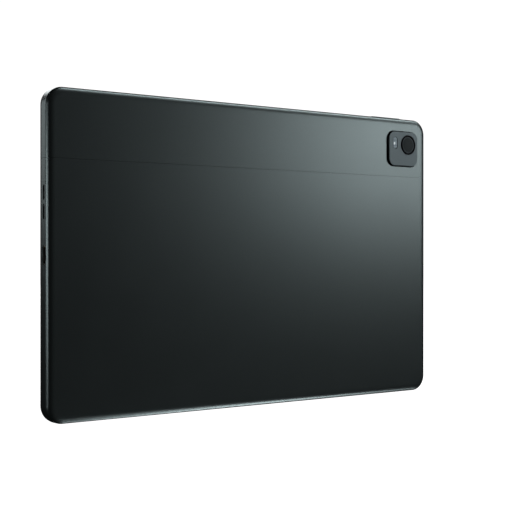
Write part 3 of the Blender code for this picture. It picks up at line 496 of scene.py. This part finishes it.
def slabRings(low, high, radius, profile, steps, axis=1):
    # rings of a rounded slab: profile is (inset, distance from the low face) along one axis
    across = [i for i in range(3) if i != axis]
    middle = (low + high) / 2
    halfA = (high[across[0]] - low[across[0]]) / 2
    halfB = (high[across[1]] - low[across[1]]) / 2
    rings = []
    for inset, rise in profile:
        ring = []
        for a, b in outline(halfA - inset, halfB - inset, max(radius - inset, smallestRadius), steps):
            point = Vector((0, 0, 0))
            point[across[0]] = middle[across[0]] + a
            point[across[1]] = middle[across[1]] + b
            point[axis] = low[axis] + rise
            ring.append(point)
        rings.append(ring)
    return rings


def roundedProfile(thickness, lowEdge, highEdge, steps=5):
    # quarter rounds of the two given radii
    points = [(lowEdge + flatHair, 0.0)]
    points += [(lowEdge * (1 - math.sin(t)), lowEdge * (1 - math.cos(t)))
               for t in (math.radians(90 * i / steps) for i in range(steps + 1))]
    points += [(highEdge * (1 - math.cos(t)), thickness - highEdge * (1 - math.sin(t)))
               for t in (math.radians(90 * i / steps) for i in range(steps + 1))]
    points.append((highEdge + flatHair, thickness))
    return points


def roundedSlab(name, low, high, radius, lowEdge, highEdge, steps=10, axis=1):
    profile = roundedProfile(high[axis] - low[axis], lowEdge, highEdge)
    return loft(name, slabRings(low, high, radius, profile, steps, axis))


def boolean(piece, tool, operation="DIFFERENCE"):
    step = piece.modifiers.new("cut", "BOOLEAN")
    step.operation = operation
    step.solver = "EXACT"
    step.object = tool
    graph = bpy.context.evaluated_depsgraph_get()
    mesh = bpy.data.meshes.new_from_object(piece.evaluated_get(graph))
    piece.modifiers.clear()
    old = piece.data
    piece.data = mesh
    mesh.name = piece.name
    bpy.data.meshes.remove(old)
    bpy.data.objects.remove(tool, do_unlink=True)


def cutSlab(piece, low, high, radius, axis=1, steps=8):
    rings = slabRings(Vector(low), Vector(high), radius, [(0, 0), (0, high[axis] - low[axis])], steps, axis)
    boolean(piece, loft("tool", rings))


def cutBand(piece, lowZ, highZ):
    # takes off all of the body between two heights
    cutSlab(piece, (-halfWidth - beyond, backY - beyond, lowZ), (halfWidth + beyond, 2 * beyond, highZ),
            cutRadius)


def wallSlot(piece, axis, span, y, half, ends, steps=8):
    # a pill-shaped hole in a wall: span goes through the wall, and ends are its two ends along the wall
    low = Vector((ends[0], y - half, ends[0]))
    high = Vector((ends[1], y + half, ends[1]))
    low[axis], high[axis] = sorted(span)
    cutSlab(piece, low, high, half * pillEnd, axis, steps)


def turnedRings(centre, profile, steps=64):
    # profile is (radius, depth towards the screen); it turns about a line along Y
    rings = []
    for radius, depth in profile:
        rings.append([centre + Vector((radius * math.cos(2 * math.pi * i / steps), depth,
                                       radius * math.sin(2 * math.pi * i / steps))) for i in range(steps)])
    return rings


def finishPiece(piece, finish, bodyName, replaced=(), angle=sharpAngle):
    piece.data.materials.clear()
    piece.data.materials.append(finishes[finish])
    piece.data.shade_smooth()
    piece.data.set_sharp_from_angle(angle=math.radians(angle))
    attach(piece, bodyName)
    if replaced:
        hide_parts(*replaced)


def bodyShell(name):
    depth = housingHigh.y - backY
    inset, drop, flat = body["roundInset"], body["roundDepth"], body["roundFlat"]
    steps = body["roundSteps"]
    share = 2 / body["roundPower"]
    profile = [(inset + flat, 0.0)]
    for i in range(steps + 1):
        t = math.radians(90 * i / steps)
        profile.append((inset * (1 - math.sin(t) ** share), drop * (1 - math.cos(t) ** share)))
    wall, chamfer = body["sideWall"], body["rimChamfer"]
    floor, ease = body["backWall"], body["pocketChamfer"]
    profile += [(0, drop + flat), (0, depth - chamfer), (chamfer, depth), (wall - chamfer, depth),
                (wall, depth - chamfer), (wall, floor + ease), (wall + ease, floor)]
    return loft(name, slabRings(bodyLow, bodyHigh, body["cornerRadius"], profile, body["cornerSteps"]))


# the holes through the side walls
holes = {
    "past": 1 * mm,             # a cut starts this far outside the wall
    "through": 4 * mm,          # and ends this far inside it
    "line": 3.4 * mm,           # keys and microphones lie this far from the back
    "half": 1.2 * mm,           # half the width of the openings for keys and tray
    "play": 0.1 * mm,
    "microphone": 0.5 * mm,     # radius
    "microphoneDepth": 3 * mm,
    "upperMicrophone": 74 * mm,
    "portPlay": 0.12 * mm,
    "portRadius": 1.68 * mm,
}
speaker = {"length": 7.1 * mm, "thickness": 1.5 * mm, "line": 3.6 * mm, "depth": 3 * mm,
           "heights": (98.95 * mm, 107.95 * mm)}
keys = {
    "thickness": 2.2 * mm,
    "tall": 2.2 * mm,
    "lowEdge": 0.05 * mm,
    "edge": 0.25 * mm,
    "ears": 1.1 * mm,           # how far the ears under the wall reach past the cap
    "earDrop": (3.1 * mm, 2.25 * mm),
    "earSide": 0.2 * mm,
    "earRadius": 0.2 * mm,
    "earEdge": 0.05 * mm,
}
rightWall = (halfWidth - holes["through"], halfWidth + holes["past"])
topWall = (bodyTop - holes["through"], bodyTop + holes["past"])


def rearHousing():
    piece = bodyShell("rearHousing")
    cutBand(piece, seamZ - body["seam"] / 2, bodyTop + beyond)
    reach, half = speaker["length"] / 2, speaker["thickness"] / 2
    for side in (-1, 1):
        span = (side * (halfWidth - speaker["depth"]), side * (halfWidth + holes["past"]))
        for z in speaker["heights"]:
            wallSlot(piece, 0, span, backY + speaker["line"], half, (z - reach, z + reach))
    play = Vector((holes["portPlay"],) * 3)
    low, high = shellLow - play, shellHigh + play
    low.x = -halfWidth - holes["through"]
    high.x = -halfWidth + holes["through"]
    cutSlab(piece, low, high, holes["portRadius"], 0)
    low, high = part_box("card_tray")
    wallSlot(piece, 0, rightWall, (low.y + high.y) / 2, holes["half"],
             (low.z - holes["play"], high.z + holes["play"]))
    low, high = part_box("lower_microphone")
    x = (low.x + high.x) / 2
    hole = holes["microphone"]
    wallSlot(piece, 2, (-holes["past"], holes["microphoneDepth"]), backY + holes["line"], hole,
             (x - hole, x + hole), 6)
    finishPiece(piece, "housing", "tablet", ["rear_housing"])


# the raised camera plate, and the gap round it
island = {
    "flange": 1.4 * mm,
    "radius": 4.1 * mm,
    "edge": 0.22 * mm,
    "edgeFlat": 0.05 * mm,
    "face": 0.3 * mm,           # thickness of the grey plate
    "gap": 0.62 * mm,           # to the cover all round
    "gapDepth": 2 * mm,
    "foot": 1.1 * mm,           # how far it stands in the cover
    "baseInset": 0.04 * mm,
    "baseGap": 0.01 * mm,
    "flangeTop": 0.1 * mm,
    "flangeFoot": 0.25 * mm,
    "seat": 5.74 * mm,
    "seatDepth": 0.57 * mm,
    "bore": 4.3 * mm,
    "above": 1 * mm,            # cuts start this far above the face
    "through": 5 * mm,
    "flashPlay": 0.06 * mm,
    "flashShadow": 0.42 * mm,   # the slit on one side of the flash window, where the black base shows as painted shadow
    "flashRadius": 1.7 * mm,
    "flashThrough": 3 * mm,
    "steps": 14,
}


def antennaCover():
    piece = bodyShell("antennaCover")
    cutBand(piece, -beyond, seamZ + body["seam"] / 2)
    gap, flange, depth = island["gap"], island["flange"], island["gapDepth"]
    low = Vector((islandLow.x + flange - gap, backY - depth, islandLow.z + flange - gap))
    high = Vector((islandHigh.x - flange + gap, backY + depth, islandHigh.z - flange + gap))
    cutSlab(piece, low, high, island["radius"] + gap, 1, 12)
    y = backY + holes["line"]
    ears, play, hole = keys["ears"], holes["play"], holes["microphone"]
    low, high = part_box("volume_key")
    wallSlot(piece, 2, topWall, y, holes["half"], (low.x + ears - play, high.x - ears + play))
    low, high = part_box("power_key")
    wallSlot(piece, 0, rightWall, y, holes["half"], (low.z + ears - play, high.z - ears + play))
    x = holes["upperMicrophone"]
    span = (bodyTop - holes["microphoneDepth"], bodyTop + holes["past"])
    wallSlot(piece, 2, span, y, hole, (x - hole, x + hole), 6)
    finishPiece(piece, "cover", "tablet", ["antenna_cover"])


lap = {"play": 0.02 * mm, "skin": 0.14 * mm, "short": 0.3 * mm, "reach": 2.5 * mm, "steps": 8}


def seamLap():
    # the bonded lap behind the seam, which keeps light out of it
    wall = body["sideWall"] + lap["play"]
    floor = body["backWall"] + lap["play"]
    depth = housingHigh.y - backY - lap["short"]
    skin, ease = lap["skin"], body["pocketChamfer"]
    profile = [(wall + ease, floor), (wall, floor + ease), (wall, depth), (wall + skin, depth),
               (wall + skin, floor + ease + skin), (wall + ease + skin, floor + skin)]
    piece = loft("seamLap", slabRings(bodyLow, bodyHigh, body["cornerRadius"], profile, lap["steps"]))
    cutBand(piece, -beyond, seamZ - lap["reach"])
    cutBand(piece, seamZ + lap["reach"], bodyTop + beyond)
    finishPiece(piece, "blackPlastic", "tablet")


rearHousing()
antennaCover()
seamLap()
print("shells made")


def cameraIsland():
    # a grey plate set on a base coloured near-black as painted shade, whose side and flange show as the dark
    # line round it
    flange, face, edge = island["flange"], island["face"], island["edge"]
    low = Vector((islandLow.x + flange, islandLow.y, islandLow.z + flange))
    high = Vector((islandHigh.x - flange, backY + island["foot"], islandHigh.z - flange))
    tall = high.y - low.y
    plateProfile = [(edge + island["edgeFlat"], 0), (edge, 0), (edge * 0.3, edge * 0.3), (0, edge),
                    (0, face)]
    plate = loft("cameraIsland", slabRings(low, high, island["radius"], plateProfile, island["steps"]))
    inset, top = island["baseInset"], tall - island["flangeTop"]
    baseProfile = [(inset, face + island["baseGap"]), (inset, top), (-flange, top),
                   (-flange, tall + island["flangeFoot"])]
    base = loft("cameraIslandBase", slabRings(low, high, island["radius"], baseProfile, island["steps"]))
    lensCentre = (lensLow + lensHigh) / 2
    centre = Vector((lensCentre.x, islandLow.y, lensCentre.z))
    above, through, play = island["above"], island["through"], island["flashPlay"]
    cuts = ((plate, island["seat"], through), (base, island["seat"], island["seatDepth"]),
            (base, island["bore"], through))
    for piece, radius, depth in cuts:
        boolean(piece, loft("tool", turnedRings(centre, [(radius, -above), (radius, depth)])))
    # the plate is cut wider on one side of the flash, so the near-black base shows there as a painted shadow
    for piece, right in ((plate, island["flashShadow"]), (base, play)):
        cutSlab(piece, (flashLow.x - play, islandLow.y - above, flashLow.z - play),
                (flashHigh.x + right, backY + island["flashThrough"], flashHigh.z + play),
                island["flashRadius"], 1, 10)
    finishPiece(plate, "island", "tablet", ["camera_island"])
    # the base's near-black colour is painted shade round the plate and beside the flash
    finishPiece(base, "islandShadeBase", "tablet")


ring = {"play": 0.03 * mm, "edge": 0.18 * mm, "bevelWidth": 0.22 * mm, "bevelTop": 0.06 * mm,
        "bevelFoot": 0.45 * mm, "edgeSteps": 3}


def lensRing():
    # a turned ring: a rounded outer edge, and a bevel that leads down to the glass
    centre = Vector(((ringLow.x + ringHigh.x) / 2, ringLow.y, (ringLow.z + ringHigh.z) / 2))
    outer = (ringHigh.x - ringLow.x) / 2
    inner = (lensHigh.x - lensLow.x) / 2 + ring["play"]
    tall = ringHigh.y - ringLow.y
    edge = ring["edge"]
    profile = [(inner, tall), (inner, ring["bevelFoot"]), (inner + ring["bevelWidth"], ring["bevelTop"])]
    for i in range(ring["edgeSteps"] + 1):
        t = math.radians(90 * i / ring["edgeSteps"])
        profile.append((outer - edge + edge * math.sin(t), edge - edge * math.cos(t)))
    profile.append((outer, tall))
    piece = loft("lensRing", turnedRings(centre, profile), closed=True)
    finishPiece(piece, "ring", "tablet", ["lens_ring"])


lens = {"middle": 0.05 * mm, "flatEnd": 0.3 * mm, "bevelWidth": 0.2 * mm, "bevelTop": 0.02 * mm,
        "bevelFoot": 0.2 * mm}


def lensGlass():
    # a flat window with a polished bevel
    centre = Vector(((lensLow.x + lensHigh.x) / 2, lensLow.y, (lensLow.z + lensHigh.z) / 2))
    radius = (lensHigh.x - lensLow.x) / 2
    thick = lensHigh.y - lensLow.y
    profile = [(lens["middle"], 0.0), (radius - lens["flatEnd"], 0.0),
               (radius - lens["bevelWidth"], lens["bevelTop"]), (radius, lens["bevelFoot"]),
               (radius, thick), (lens["middle"], thick)]
    piece = loft("lensGlass", turnedRings(centre, profile))
    finishPiece(piece, "lens", "tablet", ["lens_glass"])


flash = {
    "radius": 1.65 * mm,
    "edge": 0.12 * mm,
    "backEdge": 0.02 * mm,
    "cupProud": 0.03 * mm,      # the silvered cup shows through the window, so it stands just clear of it
    "cupDepth": 0.3 * mm,
    "cupFrom": (-1.1 * mm, -1.1 * mm),
    "cupTo": (0.1 * mm, 0.5 * mm),
    "cupRadius": 0.55 * mm,
    "cupEdge": 0.03 * mm,
}


def flashWindow():
    piece = roundedSlab("flashWindow", flashLow, flashHigh, flash["radius"], flash["edge"], flash["backEdge"])
    finishPiece(piece, "window", "tablet", ["flash_window"])
    middle = (flashLow + flashHigh) / 2
    fromX, fromZ = flash["cupFrom"]
    toX, toZ = flash["cupTo"]
    low = Vector((middle.x + fromX, flashLow.y - flash["cupProud"], middle.z + fromZ))
    high = Vector((middle.x + toX, flashLow.y + flash["cupDepth"], middle.z + toZ))
    cup = roundedSlab("flashReflector", low, high, flash["cupRadius"], flash["cupEdge"],
                      flash["backEdge"], 8)
    finishPiece(cup, "reflectorCup", "tablet")


cameraIsland()
lensRing()
lensGlass()
flashWindow()
print("camera made")


def sideKey(name, node, axis):
    # a pill with softened edges, on ears that hold it behind the wall
    low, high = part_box(node)
    along = 2 - axis
    capLow, capHigh = low.copy(), high.copy()
    capLow[along] += keys["ears"]
    capHigh[along] -= keys["ears"]
    capLow[axis] = high[axis] - keys["tall"]
    cap = roundedSlab(name, capLow, capHigh, keys["thickness"] / 2 * pillEnd, keys["lowEdge"], keys["edge"],
                      10, axis)
    earLow, earHigh = low.copy(), high.copy()
    earLow[axis] = high[axis] - keys["earDrop"][0]
    earHigh[axis] = high[axis] - keys["earDrop"][1]
    earLow.y += keys["earSide"]
    earHigh.y -= keys["earSide"]
    ears = roundedSlab(name + "Ears", earLow, earHigh, keys["earRadius"], keys["earEdge"], keys["earEdge"],
                       4, axis)
    finishPiece(cap, "cover", node, [node])
    finishPiece(ears, "blackPlastic", node)


tray = {
    "doorRadius": 1.08 * mm,
    "doorBack": 0.05 * mm,
    "doorEdge": 0.08 * mm,
    "plateHalf": 0.4 * mm,      # half the thickness of the plate that carries the cards
    "plateHeights": (38.1 * mm, 61.9 * mm),
    "plateEdge": 0.06 * mm,
    "cornerRadius": 0.8 * mm,
    "through": 2 * mm,
    # each pocket: from and to along the tray, then its two heights
    "pockets": ((1.1 * mm, 16.3 * mm, 39.2 * mm, 50.4 * mm), (2.2 * mm, 14.7 * mm, 51.6 * mm, 60.7 * mm)),
    "pinHole": 0.5 * mm,
    "pinHoleDepth": 3 * mm,
}


def cardTray():
    low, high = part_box("card_tray")
    door = body["sideWall"]
    y = (low.y + high.y) / 2
    piece = roundedSlab("cardTray", Vector((high.x - door, low.y, low.z)), high, tray["doorRadius"],
                        tray["doorBack"], tray["doorEdge"], 8, 0)
    plateLow = Vector((low.x, y - tray["plateHalf"], tray["plateHeights"][0]))
    plateHigh = Vector((high.x - door * 0.5, y + tray["plateHalf"], tray["plateHeights"][1]))
    plate = roundedSlab("plate", plateLow, plateHigh, tray["cornerRadius"], tray["plateEdge"],
                        tray["plateEdge"], 5)
    boolean(piece, plate, "UNION")
    for start, end, foot, top in tray["pockets"]:
        cutSlab(piece, (low.x + start, y - tray["through"], foot), (low.x + end, y + tray["through"], top),
                tray["cornerRadius"])
    rodLow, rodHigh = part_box("eject_rod")
    z = (rodLow.z + rodHigh.z) / 2
    hole = tray["pinHole"]
    span = (high.x - tray["pinHoleDepth"], high.x + holes["past"])
    wallSlot(piece, 0, span, y, hole, (z - hole, z + hole), 6)
    finishPiece(piece, "housing", "card_tray", ["card_tray"])


sideKey("volumeKey", "volume_key", 2)
sideKey("powerKey", "power_key", 0)
cardTray()
print("keys and tray made")


port = {
    "wall": 0.3 * mm,
    "radius": 1.56 * mm,
    "mouthEdge": 0.08 * mm,
    "backEdge": 0.05 * mm,
    "back": 0.5 * mm,           # the shell's closed end
    "tongueRadius": 0.6 * mm,
    "tongueEdge": 0.06 * mm,
    "contacts": 12,
    "pitch": 0.5 * mm,
    "contactHalf": 0.13 * mm,
    "contactSpan": (0.7 * mm, 4.2 * mm),
    "contactProud": 0.02 * mm,
    "contactThick": 0.06 * mm,
    "contactRadius": 0.1 * mm,
    "contactEdge": 0.01 * mm,
}


def usbShell():
    low, high, wall = shellLow, shellHigh, port["wall"]
    piece = roundedSlab("usbShell", low, high, port["radius"], port["mouthEdge"], port["backEdge"], 10, 0)
    cutSlab(piece, (low.x - holes["past"], low.y + wall, low.z + wall),
            (high.x - port["back"], high.y - wall, high.z - wall), port["radius"] - wall, 0, 10)
    finishPiece(piece, "steel", "tablet", ["usb_shell"])


def usbTongue():
    low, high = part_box("usb_tongue")
    piece = roundedSlab("usbTongue", low, high, port["tongueRadius"], port["tongueEdge"],
                        port["tongueEdge"], 5)
    finishPiece(piece, "blackPlastic", "tablet", ["usb_tongue"])
    half, edge = port["contactHalf"], port["contactEdge"]
    for face, row in ((-1, "A"), (1, "B")):
        outer = low.y - port["contactProud"] if face < 0 else high.y + port["contactProud"]
        near, far = sorted((outer, outer - face * port["contactThick"]))
        for number in range(port["contacts"]):
            z = (low.z + high.z) / 2 + (number - (port["contacts"] - 1) / 2) * port["pitch"]
            start = Vector((low.x + port["contactSpan"][0], near, z - half))
            end = Vector((low.x + port["contactSpan"][1], far, z + half))
            contact = roundedSlab(f"usbContact{row}{number + 1}", start, end, port["contactRadius"],
                                  edge, edge, 3)
            finishPiece(contact, "gold", "tablet")


usbShell()
usbTongue()
print("port made")


lip = {"outer": 0.18 * mm, "inner": 0.7 * mm, "edge": 0.06 * mm, "start": 6.05 * mm, "end": 6.78 * mm}
glass = {"inset": 0.2 * mm, "backEdge": 0.1 * mm, "edge": 0.3 * mm, "sharp": 40}


def frameLip():
    # the black plastic edge between the shell and the glass
    outer, inner, edge, start, end = lip["outer"], lip["inner"], lip["edge"], lip["start"], lip["end"]
    profile = [(outer + edge, start), (outer, start + edge), (outer, end - edge), (outer + edge, end),
               (inner, end), (inner, start)]
    rings = slabRings(bodyLow, bodyHigh, body["cornerRadius"], profile, body["cornerSteps"])
    finishPiece(loft("frameLip", rings, closed=True), "blackPlastic", "tablet")


def coverGlass():
    piece = roundedSlab("coverGlass", glassLow, glassHigh, body["cornerRadius"] - glass["inset"],
                        glass["backEdge"], glass["edge"], body["cornerSteps"])
    finishPiece(piece, "screen", "tablet", ["cover_glass"], glass["sharp"])


frameLip()
coverGlass()
print("screen made")


# the camera looks level at the back; its target is measured from the back's middle line
view = {"lens": 85.2, "sensor": 36.0, "distance": 0.6305, "yaw": 37.87, "target": (-0.00257, 0.0, 0.0788),
        "near": 0.05, "far": 40.0}


def addCamera():
    yaw = math.radians(view["yaw"])
    ahead = Vector((math.sin(yaw), math.cos(yaw), 0))
    target = Vector(view["target"]) + Vector((0, backY, 0))
    data = bpy.data.cameras.new("camera")
    data.lens = view["lens"]
    data.sensor_width = view["sensor"]
    data.clip_start = view["near"]
    data.clip_end = view["far"]
    camera = bpy.data.objects.new("camera", data)
    camera.location = target - ahead * view["distance"]
    camera.rotation_euler = ahead.to_track_quat("-Z", "Y").to_euler()
    bpy.context.scene.collection.objects.link(camera)
    bpy.context.scene.camera = camera


studio = {
    "paper": "#f4f4f4",
    "glow": 1.05,               # floor and backdrop shine a little over white, so both stay plain
    "floorRadius": 9.0,
    "floorDrop": 0.2 * mm,      # the paper lies a hair below the tablet
    "backdropRadius": 8.8,
    "ambient": 0.008,
    "middle": (0, 0, 0.08),
}
# place, size and power in watts: the key gives the back its slow fade, the others each light a rounded edge
softboxes = {
    "keyLight": ((1.52, -1.42, 0.37), (0.34, 0.34), 1.8),
    "topLight": ((0.75, -0.43, 1.08), (1.0, 0.22), 4.4),
    "topFrontLight": ((0.75, -0.75, 0.85), (1.0, 0.22), 0.9),
    "underLight": ((0.72, -0.43, -0.92), (1.0, 0.22), 3.7),
    "underFrontLight": ((0.72, -0.67, -0.77), (1.0, 0.22), 0.6),
    "underRearLight": ((0.82, 0.9, -0.46), (0.7, 0.22), 0.25),
    "sideLight": ((-1.4, -0.1, 0.1), (0.24, 2.2), 3.9),
    "rearSideLight": ((-0.85, 1.35, 0.45), (0.4, 0.6), 0.78),
    "screenLight": ((0.5, 2.2, 1.2), (1.6, 0.8), 12),
}


def stageFloor():
    # seamless studio paper: it shines by itself and sends no light back to the tablet
    bm = bmesh.new()
    bmesh.ops.create_circle(bm, cap_ends=True, segments=64, radius=studio["floorRadius"])
    bmesh.ops.translate(bm, verts=bm.verts, vec=(0, 0, -studio["floorDrop"]))
    floor = addObject("studioFloor", bm)
    material = newMaterial("white studio paper", {
        "Roughness": 0.9, "Base Color": linear(studio["paper"]), "Emission Color": (1, 1, 1, 1),
        "Emission Strength": studio["glow"]})[0]
    floor.data.materials.append(material)
    for ray in ("glossy", "diffuse", "shadow"):
        setattr(floor, "visible_" + ray, False)


def backdrop():
    bm = bmesh.new()
    bmesh.ops.create_uvsphere(bm, u_segments=48, v_segments=24, radius=studio["backdropRadius"])
    dome = addObject("studioBackdrop", bm)
    material = bpy.data.materials.new("white backdrop")
    material.use_nodes = True
    tree = material.node_tree
    tree.nodes.clear()
    light = addNode(tree, "ShaderNodeEmission", {"Strength": studio["glow"]})
    addNode(tree, "ShaderNodeOutputMaterial", {}, {"Surface": light.outputs[0]})
    dome.data.materials.append(material)
    for ray in ("diffuse", "glossy", "transmission", "volume_scatter", "shadow"):
        setattr(dome, "visible_" + ray, False)


def lighting():
    world = bpy.data.worlds.new("studio")
    world.use_nodes = True
    sky = world.node_tree.nodes["Background"]
    sky.inputs["Color"].default_value = (1, 1, 1, 1)
    sky.inputs["Strength"].default_value = studio["ambient"]
    bpy.context.scene.world = world
    for name, (place, size, power) in softboxes.items():
        data = bpy.data.lights.new(name, "AREA")
        data.shape = "RECTANGLE"
        data.size, data.size_y = size
        data.energy = power
        lamp = bpy.data.objects.new(name, data)
        lamp.location = place
        lamp.rotation_euler = (Vector(studio["middle"]) - Vector(place)).to_track_quat("-Z", "Z").to_euler()
        bpy.context.scene.collection.objects.link(lamp)


addCamera()
stageFloor()
backdrop()
lighting()
bpy.context.scene.view_settings.view_transform = "Standard"
print("studio made")
